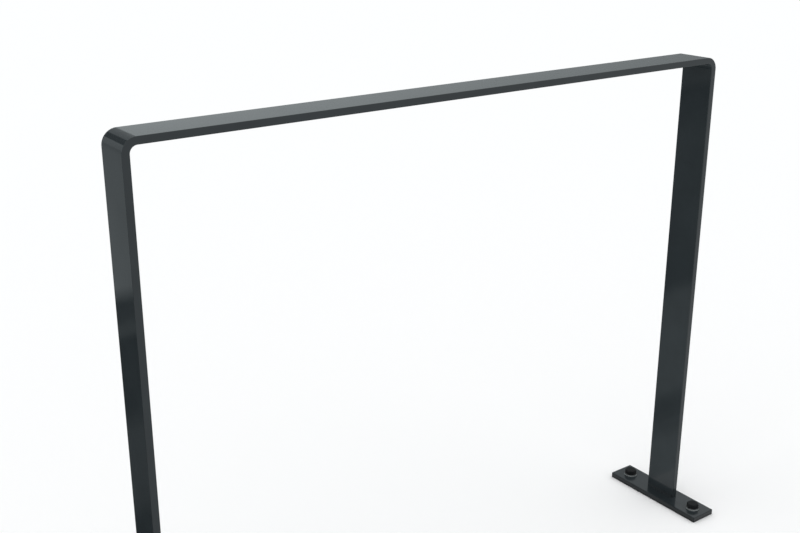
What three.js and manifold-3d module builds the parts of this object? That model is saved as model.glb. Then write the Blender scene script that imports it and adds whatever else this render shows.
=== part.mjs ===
// Hoop bike rack: one flat bar bent into a hoop, welded onto two base plates that are bolted down.
// Millimetres. X runs along the hoop, Y across it, Z up. The origin lies on the ground, midway between the legs.
import * as THREE from 'three';
import { ConvexGeometry } from 'three/addons/geometries/ConvexGeometry.js';
import { mergeVertices } from 'three/addons/utils/BufferGeometryUtils.js';
import Module from 'manifold-3d';

// Hoop: hot rolled flat bar, bent twice the easy way
const hoopLength = 1010; // over the outer faces of the legs
const hoopHeight = 815; // from the ground to the top of the bar
const barWidth = 60;
const barThickness = 10;
const barEdgeRadius = 1;
const bendInnerRadius = 10;

// Base plates
const plateLength = 200; // across the hoop
const plateWidth = 50; // along the hoop
const plateThickness = 10;
const plateEdgeChamfer = 0.8;
const plateInset = 3; // from the middle of the leg to the plate's centre line, towards the other leg
const holeToPlateEnd = 25;

// Fixings: one hexagon bolt on one plain washer at each hole
const boltDiameter = 12;
const boltHeadAcrossFlats = 18;
const boltHeadHeight = 7.5;
const boltHeadTopShare = 0.94; // of the width across flats, where the chamfer starts
const boltHeadChamfer = THREE.MathUtils.degToRad(30);
const washerDiameter = 24;
const washerThickness = 2.5;
const washerBoreClearance = 1; // on the diameter
const plateHoleClearance = 2; // on the diameter

// Weld beads: one fillet along each broad side of each leg
const weldWidth = 3;
const weldHeight = 3;
const weldEndInset = 1.5; // from the bar's edge to the end of the bead
const weldRunOut = 3; // over which the bead tapers off at each end
const weldEndShare = 0.35; // of its full size, at the very end
const weldRipplePitch = 3;
const weldRippleDepth = 0.3;
const weldBulge = 0.35; // how far the face stands out beyond the straight fillet

// How finely round shapes are cut
const bendSteps = 24;
const edgeSteps = 4;
const roundSides = 48;
const hexagonSides = 6;
const stepsPerRipple = 4;
const weldFaceSteps = 5;

// Overrun of every cutting solid beyond the material that it cuts
const overrun = 1;

// Places that follow from the sizes
const legCentreX = (hoopLength - barThickness) / 2;
const weldLength = barWidth - 2 * weldEndInset;
const plateCentreX = legCentreX - plateInset;
const holeY = plateLength / 2 - holeToPlateEnd;
const washerTopZ = plateThickness + washerThickness;
const washerBore = boltDiameter + washerBoreClearance;
const plateHole = boltDiameter + plateHoleClearance;

// Each bolt stopped at another turn when it was tightened
const boltTurns = {
  left_front: THREE.MathUtils.degToRad(22),
  left_back: THREE.MathUtils.degToRad(-14),
  right_front: THREE.MathUtils.degToRad(25),
  right_back: THREE.MathUtils.degToRad(-15),
};

const paint = { color: 0x4b5054, roughness: 0.35, metalness: 0.1 };
const blackened = { color: 0x17181a, roughness: 0.45, metalness: 0.4 };
const zinc = { color: 0xb4b7b8, roughness: 0.35, metalness: 0.9 };

const wasm = await Module();
wasm.setup();

function toSolid(geometry) {
  const bare = geometry.clone();
  bare.deleteAttribute('normal');
  bare.deleteAttribute('uv');
  const merged = mergeVertices(bare);
  const vertProperties = new Float32Array(merged.attributes.position.array);
  const triVerts = new Uint32Array(merged.index.array);
  return new wasm.Manifold(new wasm.Mesh({ numProp: 3, vertProperties, triVerts }));
}

function toGeometry(solid) {
  const mesh = solid.getMesh();
  const geometry = new THREE.BufferGeometry();
  geometry.setAttribute('position', new THREE.BufferAttribute(mesh.vertProperties, 3));
  geometry.setIndex(new THREE.BufferAttribute(mesh.triVerts, 1));
  return geometry;
}

// An upright cylinder or cone between two heights, as a geometry with Z as its axis
function uprightCone(bottomRadius, topRadius, bottomZ, topZ, sides) {
  const cone = new THREE.CylinderGeometry(topRadius, bottomRadius, topZ - bottomZ, sides);
  cone.rotateX(Math.PI / 2);
  cone.translate(0, 0, (bottomZ + topZ) / 2);
  return cone;
}

function uprightCylinder(radius, bottomZ, topZ, sides) {
  return uprightCone(radius, radius, bottomZ, topZ, sides);
}

// The bar's section as points, anticlockwise: across is its thickness, along its width
function barSection() {
  const points = [];
  const corners = [[1, 1], [-1, 1], [-1, -1], [1, -1]];
  corners.forEach(([acrossSign, alongSign], corner) => {
    const centreAcross = acrossSign * (barThickness / 2 - barEdgeRadius);
    const centreAlong = alongSign * (barWidth / 2 - barEdgeRadius);
    for (let step = 0; step <= edgeSteps; step += 1) {
      const angle = (corner + step / edgeSteps) * Math.PI / 2;
      points.push({
        across: centreAcross + barEdgeRadius * Math.cos(angle),
        along: centreAlong + barEdgeRadius * Math.sin(angle),
      });
    }
  });
  return points;
}

// Joins rings of points, each as long as the next, into a surface that is closed at both ends. It faces out
// when the rings turn clockwise, seen from the end that they run towards.
function joinRings(rings) {
  const size = rings[0].length;
  const positions = rings.flat(2);
  const index = [];
  for (let span = 0; span < rings.length - 1; span += 1) {
    const here = span * size;
    const next = here + size;
    for (let point = 0; point < size; point += 1) {
      const after = (point + 1) % size;
      index.push(here + point, next + after, here + after);
      index.push(here + point, next + point, next + after);
    }
  }
  const last = (rings.length - 1) * size;
  for (let point = 1; point < size - 1; point += 1) {
    index.push(0, point, point + 1);
    index.push(last, last + point + 1, last + point);
  }
  const geometry = new THREE.BufferGeometry();
  geometry.setAttribute('position', new THREE.BufferAttribute(new Float32Array(positions), 3));
  geometry.setIndex(index);
  return geometry;
}

// The bar's centre line from the left foot over both bends to the right foot, with its outward normal's angle
function hoopStations() {
  const bendRadius = bendInnerRadius + barThickness / 2;
  const bendCentreX = legCentreX - bendRadius;
  const bendCentreZ = hoopHeight - barThickness / 2 - bendRadius;
  const stations = [{ x: -legCentreX, z: plateThickness, angle: Math.PI }];
  for (const side of [-1, 1]) {
    const startAngle = side < 0 ? Math.PI : Math.PI / 2;
    for (let step = 0; step <= bendSteps; step += 1) {
      const angle = startAngle - (step / bendSteps) * Math.PI / 2;
      stations.push({
        x: side * bendCentreX + bendRadius * Math.cos(angle),
        z: bendCentreZ + bendRadius * Math.sin(angle),
        angle,
      });
    }
  }
  stations.push({ x: legCentreX, z: plateThickness, angle: 0 });
  return stations;
}

function hoopBar() {
  const section = barSection();
  const rings = hoopStations().map(({ x, z, angle }) => section.map(({ across, along }) => [
    x + across * Math.cos(angle),
    along,
    z + across * Math.sin(angle),
  ]));
  return joinRings(rings);
}

// A rectangular block with every edge chamfered, standing on Z = 0
function chamferedBlock(sizeX, sizeY, sizeZ, chamfer) {
  const half = new THREE.Vector3(sizeX / 2, sizeY / 2, sizeZ / 2);
  const corners = [];
  for (const signX of [-1, 1]) {
    for (const signY of [-1, 1]) {
      for (const signZ of [-1, 1]) {
        for (const axis of ['x', 'y', 'z']) {
          const inset = half.clone().subScalar(chamfer);
          inset[axis] = half[axis];
          corners.push(new THREE.Vector3(signX * inset.x, signY * inset.y, half.z + signZ * inset.z));
        }
      }
    }
  }
  return new ConvexGeometry(corners);
}

function basePlate() {
  let plate = toSolid(chamferedBlock(plateWidth, plateLength, plateThickness, plateEdgeChamfer));
  for (const side of [-1, 1]) {
    const hole = uprightCylinder(plateHole / 2, -overrun, plateThickness + overrun, roundSides);
    hole.translate(0, side * holeY, 0);
    plate = plate.subtract(toSolid(hole));
  }
  return toGeometry(plate);
}

function washer() {
  const disc = uprightCylinder(washerDiameter / 2, 0, washerThickness, roundSides);
  const bore = uprightCylinder(washerBore / 2, -overrun, washerThickness + overrun, roundSides);
  return toGeometry(toSolid(disc).subtract(toSolid(bore)));
}

// The bolt's head stands on Z = 0. Its shank is cut off level with the ground, where the anchor in the ground begins.
function anchorBolt() {
  const acrossCorners = boltHeadAcrossFlats / Math.cos(Math.PI / hexagonSides);
  const hexagon = uprightCylinder(acrossCorners / 2, 0, boltHeadHeight, hexagonSides);
  const topRadius = boltHeadTopShare * boltHeadAcrossFlats / 2;
  const bottomRadius = topRadius + boltHeadHeight / Math.tan(boltHeadChamfer);
  const chamferCone = uprightCone(bottomRadius, topRadius, 0, boltHeadHeight, roundSides);
  const shank = uprightCylinder(boltDiameter / 2, -washerTopZ, boltHeadHeight / 2, roundSides);
  const head = toSolid(hexagon).intersect(toSolid(chamferCone));
  return toGeometry(head.add(toSolid(shank)));
}

// How much of its full size the bead has at a distance from its nearer end: a quarter ellipse over the run-out
function beadSize(distance) {
  const missing = Math.max(0, 1 - distance / weldRunOut);
  return weldEndShare + (1 - weldEndShare) * Math.sqrt(1 - missing * missing);
}

// A fillet along Y with a slightly bulging, rippled face. Its flat sides lie against the leg, on its -X side,
// and against the plate, under it.
function weldBead() {
  const steps = Math.round(weldLength / weldRipplePitch) * stepsPerRipple;
  const rings = [];
  for (let number = 0; number <= steps; number += 1) {
    const along = weldLength * (number / steps - 1 / 2);
    const size = beadSize(weldLength / 2 - Math.abs(along));
    const turn = 2 * Math.PI * number / stepsPerRipple;
    const dip = weldRippleDepth * (1 - Math.cos(turn)) / 2;
    const ring = [[0, along, 0]];
    for (let step = 0; step <= weldFaceSteps; step += 1) {
      const share = step / weldFaceSteps;
      const lift = (weldBulge - dip) * Math.sin(Math.PI * share) / Math.SQRT2;
      ring.push([size * (weldWidth * (1 - share) + lift), along, size * (weldHeight * share + lift)]);
    }
    rings.push(ring);
  }
  return joinRings(rings);
}

function named(name, geometry, finish) {
  const mesh = new THREE.Mesh(geometry, new THREE.MeshStandardMaterial(finish));
  mesh.name = name;
  return mesh;
}

const rack = new THREE.Group();
rack.add(named('hoop_bar', hoopBar(), paint));

for (const [sideName, side] of [['left', -1], ['right', 1]]) {
  const plate = named(`base_plate_${sideName}`, basePlate(), paint);
  plate.position.set(side * plateCentreX, 0, 0);
  rack.add(plate);

  for (const [faceName, face] of [['outer', side], ['inner', -side]]) {
    const bead = named(`weld_bead_${sideName}_${faceName}`, weldBead(), paint);
    bead.position.set(side * legCentreX + face * barThickness / 2, 0, plateThickness);
    bead.rotation.z = face > 0 ? 0 : Math.PI;
    rack.add(bead);
  }

  for (const [endName, end] of [['front', -1], ['back', 1]]) {
    const place = `${sideName}_${endName}`;
    const ring = named(`washer_${place}`, washer(), zinc);
    ring.position.set(side * plateCentreX, end * holeY, plateThickness);
    rack.add(ring);

    const bolt = named(`anchor_bolt_${place}`, anchorBolt(), blackened);
    bolt.position.set(side * plateCentreX, end * holeY, washerTopZ);
    bolt.rotation.z = boltTurns[place];
    rack.add(bolt);
  }
}

export default rack;
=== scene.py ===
"""Hoop bike rack: one bent flat bar on two bolted base plates, in satin anthracite powder coat."""

from math import cos, radians, sin

import bpy
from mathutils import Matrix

# Everything is in metres and radians, in the frame's own axes

# Camera: a 50 mm lens at the photograph's place. Unturned, it looks straight down
CAMERA_PLACE = (-0.9609, -1.1859, 1.0861)
LEVEL_PITCH = radians(90)
CAMERA_PITCH_DOWN = radians(19.27)
CAMERA_YAW_RIGHT = radians(35.91)
CAMERA_LENS_MM = 50.0
SENSOR_WIDTH_MM = 36.0
CAMERA_REACH = 100.0

# Studio: a large pale floor under an even white sky
FLOOR_RADIUS = 25.0
FLOOR_SIDES = 96
FLOOR_COLOUR = (0.96, 0.96, 0.96)
SKY_COLOUR = (1.03, 1.04, 1.045)

# Cards behind the rack that only its reflections show. Each is an upright sheet: how far behind it stands,
# both its ends across, and rows from the bottom up, each a height and the brightness there
CARD_TINT = (0.92, 1.0, 1.02)
CARDS = {
    "card_left": (0.20, (-2.20, -0.50), (
        (0.0, 0.01),
        (0.19, 0.01),
        (0.215, 0.06),
        (0.25, 0.08),
        (0.33, 0.08),
        (0.37, 0.01),
        (0.476, 0.01),
        (0.486, 0.11),
        (0.496, 0.11),
        (0.507, 0.05),
        (0.53, 0.03),
        (0.555, 0.39),
        (0.80, 0.36),
    )),
    "card_right": (0.20, (0.05, 0.48), (
        (0.0, 0.15),
        (0.05, 0.15),
        (0.075, 0.59),
        (0.285, 0.59),
        (0.31, 0.07),
        (0.35, 0.08),
        (0.42, 0.16),
        (0.62, 0.16),
        (0.67, 0.01),
        (0.706, 0.01),
        (0.722, 0.34),
        (0.80, 0.34),
    )),
    "card_low": (0.05, (0.36, 0.468), (
        (0.0, 0.62),
        (0.075, 0.60),
        (0.10, 0.36),
        (0.12, 0.36),
    )),
}

# The card farthest behind changes in brightness across too: each row gives it at every place across
BACK_BEHIND = 3.01
BACK_PLACES = (0.30, 2.90, 5.50)
BACK_LEVELS = (
    (0.0, (0.80, 0.50, 0.24)),
    (1.90, (0.80, 0.50, 0.24)),
    (2.45, (0.80, 0.66, 0.66)),
    (2.90, (1.03, 1.03, 1.03)),
)

# More cards, in a fan round the left bend: both sides of each, as the angle from the level in degrees
# and the brightness there
FAN_BEHIND = 3.0
FAN_APEX = (-0.50, 0.81)
FAN_NEAR = 0.9
FAN_FAR = 2.0
FAN = {
    "fan_grey": ((37.5, 0.40), (101.0, 0.47)),
    "fan_dark": ((101.0, 0.10), (141.0, 0.10)),
    "fan_pale": ((141.0, 0.64), (190.0, 0.43)),
}

# Paint: linear colours, its refraction, and its roughness from the smoothest to the dullest spot
COAT_DARK = (0.0184, 0.0235, 0.0263)
COAT_LIGHT = (0.0225, 0.0286, 0.0317)
# The plate's upright sides get darker copies of the coat colours, as painted shade
PLATE_SIDE_SHADE_DARK = (0.0088, 0.0113, 0.0126)
PLATE_SIDE_SHADE_LIGHT = (0.0108, 0.0137, 0.0152)
COAT_REFRACTION = 1.33
BAR_ROUGHNESS = (0.09, 0.14)
PLATE_ROUGHNESS = (0.14, 0.22)
PAINT_SHINE = 0.5
COLOUR_PATCH_SIZE = 0.060
ROUGHNESS_PATCH_SIZE = 0.025
ORANGE_PEEL_SIZE = 0.0016
ORANGE_PEEL_DEPTH = 0.000003
ROLLED_WAVE_SIZE = 0.045
ROLLED_WAVE_DEPTH = 0.00005
PLATE_EDGE_ROUNDING = 0.0012

# Paint over a weld lies duller; its colour is darker than the coat, as painted shade of the corner between
# leg and plate
BEAD_SHADE_DARK = (0.0110, 0.0140, 0.0156)
BEAD_SHADE_LIGHT = (0.0160, 0.0203, 0.0225)
BEAD_ROUGHNESS = (0.34, 0.50)
BEAD_SHINE = 0.15
BEAD_GRAIN_SIZE = 0.0008
BEAD_GRAIN_DEPTH = 0.00004

# Blackened bolts, worn a little brighter along their edges
BOLT_BLACK = (0.0104, 0.0118, 0.0125)
BOLT_WORN = (0.0255, 0.0270, 0.0275)
BOLT_ROUGHNESS = (0.44, 0.62)
BOLT_SHINE = 0.07
BOLT_GRAIN_SIZE = 0.0007
BOLT_GRAIN_DEPTH = 0.00002
BOLT_EDGE_ROUNDING = 0.0006

# Dull zinc on the washers, with the fine rings of their turned faces; the flat top is darkened as painted
# shade and the rim keeps the zinc colour
ZINC_DARK = (0.204, 0.221, 0.224)
ZINC_LIGHT = (0.292, 0.312, 0.315)
WASHER_TOP_SHADE_DARK = (0.030, 0.032, 0.033)
WASHER_TOP_SHADE_LIGHT = (0.056, 0.060, 0.061)
ZINC_METALLIC = 0.3
ZINC_ROUGHNESS = (0.55, 0.75)
ZINC_SPOT_SIZE = 0.002
BOX_MIDDLE_SHARES = (0.5, 0.5, 0.5)
WASHER_RINGS = 38.0
WASHER_RING_WANDER = 1.5
WASHER_RING_DEPTH = 0.000015
WASHER_EDGE_ROUNDING = 0.0004

# Noise: where most of its values lie, and how many finer layers each kind carries
NOISE_LOW = 0.3
NOISE_HIGH = 0.7
BROAD_LAYERS = 1.0
MEDIUM_LAYERS = 2.0
FINE_LAYERS = 4.0

# How far a rounded normal leans from the true one on a face and on an edge, as a cosine
FACE_LEAN = 0.995
EDGE_LEAN = 0.90
ROUNDING_SAMPLES = 6

# Merging and smoothing of the facets
MERGE_DISTANCE = 0.000002
SHARP_ANGLE = radians(25)


class Nodes:
    """Short ways to add and join shader nodes in one tree."""

    def __init__(self, tree):
        self.tree = tree

    def add(self, kind, **settings):
        node = self.tree.nodes.new(kind)
        for name, value in settings.items():
            setattr(node, name, value)
        return node

    def join(self, source, target):
        self.tree.links.new(source, target)

    def noise(self, vector, size, layers):
        node = self.add("ShaderNodeTexNoise")
        node.inputs["Scale"].default_value = 1.0 / size
        node.inputs["Detail"].default_value = layers
        self.join(vector, node.inputs["Vector"])
        return node.outputs["Fac"]

    def spread(self, value, low, high):
        """A noise value spread over low to high."""
        node = self.add("ShaderNodeMapRange")
        node.inputs["From Min"].default_value = NOISE_LOW
        node.inputs["From Max"].default_value = NOISE_HIGH
        node.inputs["To Min"].default_value = low
        node.inputs["To Max"].default_value = high
        self.join(value, node.inputs["Value"])
        return node.outputs["Result"]

    def blend(self, share, first, second):
        """A mix of two colours, each given as a triple or as a socket."""
        node = self.add("ShaderNodeMix", data_type="RGBA")
        for name, colour in (("A", first), ("B", second)):
            if isinstance(colour, tuple):
                node.inputs[name].default_value = (*colour, 1.0)
            else:
                self.join(colour, node.inputs[name])
        self.join(share, node.inputs["Factor"])
        return node.outputs["Result"]

    def upward_share(self):
        """1 on faces that look up and 0 on upright ones."""
        split = self.add("ShaderNodeSeparateXYZ")
        self.join(self.add("ShaderNodeNewGeometry").outputs["True Normal"], split.inputs["Vector"])
        return split.outputs["Z"]

    def bump(self, height, depth, normal=None):
        node = self.add("ShaderNodeBump")
        node.inputs["Strength"].default_value = 1.0
        node.inputs["Distance"].default_value = depth
        self.join(height, node.inputs["Height"])
        if normal is not None:
            self.join(normal, node.inputs["Normal"])
        return node.outputs["Normal"]

    def rounded(self, radius):
        node = self.add("ShaderNodeBevel", samples=ROUNDING_SAMPLES)
        node.inputs["Radius"].default_value = radius
        return node.outputs["Normal"]

    def place(self, output="Object"):
        return self.add("ShaderNodeTexCoord").outputs[output]


def new_material(name):
    material = bpy.data.materials.new(name)
    material.use_nodes = True
    nodes = Nodes(material.node_tree)
    shader = material.node_tree.nodes["Principled BSDF"]
    return material, nodes, shader


def powder_coat(name, colours, roughness, shine, grain, edge_rounding=None, painted_side_shade=None):
    """Satin anthracite paint with orange peel, over a bar that is rolled slightly wavy; where darker side
    colours are given, upright faces take them as painted shade.
    """
    grain_size, grain_depth = grain
    material, nodes, shader = new_material(name)
    place = nodes.place()
    patches = nodes.spread(nodes.noise(place, COLOUR_PATCH_SIZE, MEDIUM_LAYERS), 0.0, 1.0)
    colour = nodes.blend(patches, *colours)
    # Painted shade: upright faces take the darker side colours
    if painted_side_shade is not None:
        colour = nodes.blend(nodes.upward_share(), nodes.blend(patches, *painted_side_shade), colour)
    nodes.join(colour, shader.inputs["Base Color"])
    gloss = nodes.noise(place, ROUGHNESS_PATCH_SIZE, FINE_LAYERS)
    nodes.join(nodes.spread(gloss, *roughness), shader.inputs["Roughness"])
    start = None if edge_rounding is None else nodes.rounded(edge_rounding)
    wave = nodes.bump(nodes.noise(place, ROLLED_WAVE_SIZE, BROAD_LAYERS), ROLLED_WAVE_DEPTH, start)
    peel = nodes.bump(nodes.noise(place, grain_size, MEDIUM_LAYERS), grain_depth, wave)
    nodes.join(peel, shader.inputs["Normal"])
    shader.inputs["IOR"].default_value = COAT_REFRACTION
    shader.inputs["Specular IOR Level"].default_value = shine
    return material


def edge_share(nodes, radius):
    """1 on edges and 0 on faces: how far the rounded normal turns from the true one."""
    rounded = nodes.rounded(radius)
    true_normal = nodes.add("ShaderNodeNewGeometry").outputs["True Normal"]
    dot = nodes.add("ShaderNodeVectorMath", operation="DOT_PRODUCT")
    nodes.join(rounded, dot.inputs[0])
    nodes.join(true_normal, dot.inputs[1])
    share = nodes.add("ShaderNodeMapRange")
    share.inputs["From Min"].default_value = FACE_LEAN
    share.inputs["From Max"].default_value = EDGE_LEAN
    nodes.join(dot.outputs["Value"], share.inputs["Value"])
    return share.outputs["Result"], rounded


def blackened_steel():
    material, nodes, shader = new_material("blackened_steel")
    edges, rounded = edge_share(nodes, BOLT_EDGE_ROUNDING)
    nodes.join(nodes.blend(edges, BOLT_BLACK, BOLT_WORN), shader.inputs["Base Color"])
    grain = nodes.noise(nodes.place(), BOLT_GRAIN_SIZE, FINE_LAYERS)
    nodes.join(nodes.spread(grain, *BOLT_ROUGHNESS), shader.inputs["Roughness"])
    nodes.join(nodes.bump(grain, BOLT_GRAIN_DEPTH, rounded), shader.inputs["Normal"])
    shader.inputs["Specular IOR Level"].default_value = BOLT_SHINE
    return material


def zinc_plate():
    material, nodes, shader = new_material("zinc_plate")
    centred = nodes.add("ShaderNodeVectorMath", operation="SUBTRACT")
    centred.inputs[1].default_value = BOX_MIDDLE_SHARES
    nodes.join(nodes.place("Generated"), centred.inputs[0])
    rings = nodes.add("ShaderNodeTexWave", wave_type="RINGS", rings_direction="Z")
    rings.inputs["Scale"].default_value = WASHER_RINGS
    rings.inputs["Distortion"].default_value = WASHER_RING_WANDER
    nodes.join(centred.outputs["Vector"], rings.inputs["Vector"])
    spots = nodes.noise(nodes.place(), ZINC_SPOT_SIZE, FINE_LAYERS)
    patches = nodes.spread(spots, 0.0, 1.0)
    rim = nodes.blend(patches, ZINC_DARK, ZINC_LIGHT)
    # Painted shade: the flat top takes far darker colours than the rim
    shaded_top = nodes.blend(patches, WASHER_TOP_SHADE_DARK, WASHER_TOP_SHADE_LIGHT)
    nodes.join(nodes.blend(nodes.upward_share(), rim, shaded_top), shader.inputs["Base Color"])
    nodes.join(nodes.spread(spots, *ZINC_ROUGHNESS), shader.inputs["Roughness"])
    start = nodes.rounded(WASHER_EDGE_ROUNDING)
    nodes.join(nodes.bump(rings.outputs["Fac"], WASHER_RING_DEPTH, start), shader.inputs["Normal"])
    shader.inputs["Metallic"].default_value = ZINC_METALLIC
    return material


def smooth_faces():
    """Geometry nodes that merge the facets' corners and round the shading, except over sharp edges."""
    tree = bpy.data.node_groups.new("smooth_faces", "GeometryNodeTree")
    tree.interface.new_socket("Geometry", in_out="INPUT", socket_type="NodeSocketGeometry")
    tree.interface.new_socket("Geometry", in_out="OUTPUT", socket_type="NodeSocketGeometry")
    nodes = Nodes(tree)
    start = nodes.add("NodeGroupInput")
    bare = nodes.add("GeometryNodeRemoveAttribute")
    bare.inputs["Name"].default_value = "custom_normal"
    merge = nodes.add("GeometryNodeMergeByDistance")
    merge.inputs["Distance"].default_value = MERGE_DISTANCE
    soft = nodes.add("GeometryNodeSetShadeSmooth", domain="FACE")
    crease = nodes.add("GeometryNodeSetShadeSmooth", domain="EDGE")
    crease.inputs["Shade Smooth"].default_value = False
    angle = nodes.add("GeometryNodeInputMeshEdgeAngle")
    sharp = nodes.add("FunctionNodeCompare", data_type="FLOAT", operation="GREATER_THAN")
    sharp.inputs["B"].default_value = SHARP_ANGLE
    end = nodes.add("NodeGroupOutput")
    nodes.join(start.outputs["Geometry"], bare.inputs["Geometry"])
    nodes.join(bare.outputs["Geometry"], merge.inputs["Geometry"])
    nodes.join(merge.outputs["Geometry"], soft.inputs["Geometry"])
    nodes.join(soft.outputs["Geometry"], crease.inputs["Geometry"])
    nodes.join(angle.outputs["Unsigned Angle"], sharp.inputs["A"])
    nodes.join(sharp.outputs["Result"], crease.inputs["Selection"])
    nodes.join(crease.outputs["Geometry"], end.inputs["Geometry"])
    return tree


def dress(node, material, smoothing):
    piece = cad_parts[node]
    piece.data.materials.clear()
    piece.data.materials.append(material)
    modifier = piece.modifiers.new("smooth_faces", "NODES")
    modifier.node_group = smoothing
    weighting = piece.modifiers.new("weighted_normals", "WEIGHTED_NORMAL")
    weighting.keep_sharp = True


def dress_rack():
    smoothing = smooth_faces()
    coat_colours = (COAT_DARK, COAT_LIGHT)
    # The weld beads' darker colours are painted shade of the corner they fill
    bead_shade_colours = (BEAD_SHADE_DARK, BEAD_SHADE_LIGHT)
    orange_peel = (ORANGE_PEEL_SIZE, ORANGE_PEEL_DEPTH)
    bead_grain = (BEAD_GRAIN_SIZE, BEAD_GRAIN_DEPTH)
    bar_coat = powder_coat("bar_coat", coat_colours, BAR_ROUGHNESS, PAINT_SHINE, orange_peel)
    # The darker colours on the plates' upright sides are painted shade
    painted_side_shade = (PLATE_SIDE_SHADE_DARK, PLATE_SIDE_SHADE_LIGHT)
    plate_coat = powder_coat(
        "plate_coat", coat_colours, PLATE_ROUGHNESS, PAINT_SHINE, orange_peel,
        edge_rounding=PLATE_EDGE_ROUNDING, painted_side_shade=painted_side_shade,
    )
    bead_coat_shaded = powder_coat("bead_coat_shaded", bead_shade_colours, BEAD_ROUGHNESS, BEAD_SHINE, bead_grain)
    steel = blackened_steel()
    zinc = zinc_plate()
    dress("hoop_bar", bar_coat, smoothing)
    for side in ("left", "right"):
        dress(f"base_plate_{side}", plate_coat, smoothing)
        for face in ("outer", "inner"):
            dress(f"weld_bead_{side}_{face}", bead_coat_shaded, smoothing)
        for end in ("front", "back"):
            dress(f"washer_{side}_{end}", zinc, smoothing)
            dress(f"anchor_bolt_{side}_{end}", steel, smoothing)


def make_floor():
    bpy.ops.mesh.primitive_circle_add(vertices=FLOOR_SIDES, radius=FLOOR_RADIUS, fill_type="NGON")
    floor = bpy.context.object
    floor.name = "studio_floor"
    material, _, shader = new_material("pale_floor")
    shader.inputs["Base Color"].default_value = (*FLOOR_COLOUR, 1.0)
    shader.inputs["Roughness"].default_value = 1.0
    shader.inputs["Specular IOR Level"].default_value = 0.0
    floor.data.materials.append(material)


def make_sky():
    world = bpy.data.worlds.new("soft_sky")
    world.use_nodes = True
    world.node_tree.nodes["Background"].inputs["Color"].default_value = (*SKY_COLOUR, 1.0)
    bpy.context.scene.world = world


def card_glow():
    material = bpy.data.materials.new("card_glow")
    material.use_nodes = True
    tree = material.node_tree
    tree.nodes.remove(tree.nodes["Principled BSDF"])
    nodes = Nodes(tree)
    level = nodes.add("ShaderNodeAttribute", attribute_name="brightness")
    glow = nodes.add("ShaderNodeEmission")
    glow.inputs["Color"].default_value = (*CARD_TINT, 1.0)
    nodes.join(level.outputs["Fac"], glow.inputs["Strength"])
    nodes.join(glow.outputs["Emission"], tree.nodes["Material Output"].inputs["Surface"])
    return material


def make_card(name, behind, rows, glow):
    """An upright sheet from rows of corners, each as (across, up, brightness)."""
    corners = [corner for row in rows for corner in row]
    width = len(rows[0])
    starts = [row * width + column for row in range(len(rows) - 1) for column in range(width - 1)]
    faces = [(start, start + 1, start + 1 + width, start + width) for start in starts]
    mesh = bpy.data.meshes.new(name)
    mesh.from_pydata([(across, behind, up) for across, up, _ in corners], [], faces)
    levels = mesh.attributes.new("brightness", "FLOAT", "POINT")
    levels.data.foreach_set("value", [brightness for _, _, brightness in corners])
    mesh.materials.append(glow)
    card = bpy.data.objects.new(name, mesh)
    card.visible_camera = False
    card.visible_diffuse = False
    card.visible_shadow = False
    card.visible_transmission = False
    bpy.context.scene.collection.objects.link(card)


def fan_corner(angle, reach, brightness):
    across, up = FAN_APEX
    return (across + reach * cos(radians(angle)), up + reach * sin(radians(angle)), brightness)


def make_cards():
    glow = card_glow()
    for name, (behind, ends, levels) in CARDS.items():
        rows = [[(across, up, level) for across in ends] for up, level in levels]
        make_card(name, behind, rows, glow)
    rows = [[(across, up, level) for across, level in zip(BACK_PLACES, row)] for up, row in BACK_LEVELS]
    make_card("card_back", BACK_BEHIND, rows, glow)
    for name, sides in FAN.items():
        rows = [
            [fan_corner(angle, reach, level) for reach in (FAN_NEAR, FAN_FAR)]
            for angle, level in sides
        ]
        make_card(name, FAN_BEHIND, rows, glow)


def make_camera():
    data = bpy.data.cameras.new("camera")
    data.lens = CAMERA_LENS_MM
    data.sensor_width = SENSOR_WIDTH_MM
    data.clip_end = CAMERA_REACH
    camera = bpy.data.objects.new("camera", data)
    camera.location = CAMERA_PLACE
    camera.rotation_euler = (LEVEL_PITCH - CAMERA_PITCH_DOWN, 0.0, -CAMERA_YAW_RIGHT)
    bpy.context.scene.collection.objects.link(camera)
    bpy.context.scene.camera = camera


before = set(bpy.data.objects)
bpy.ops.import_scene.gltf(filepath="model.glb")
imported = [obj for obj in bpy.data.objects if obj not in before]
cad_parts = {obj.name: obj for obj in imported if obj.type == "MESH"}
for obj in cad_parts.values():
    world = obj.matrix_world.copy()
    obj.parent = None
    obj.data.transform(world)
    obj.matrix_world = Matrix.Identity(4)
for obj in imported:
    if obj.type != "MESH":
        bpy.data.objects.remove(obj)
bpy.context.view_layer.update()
bpy.context.scene.view_settings.view_transform = "Standard"
make_camera()
make_sky()
make_floor()
make_cards()
dress_rack()
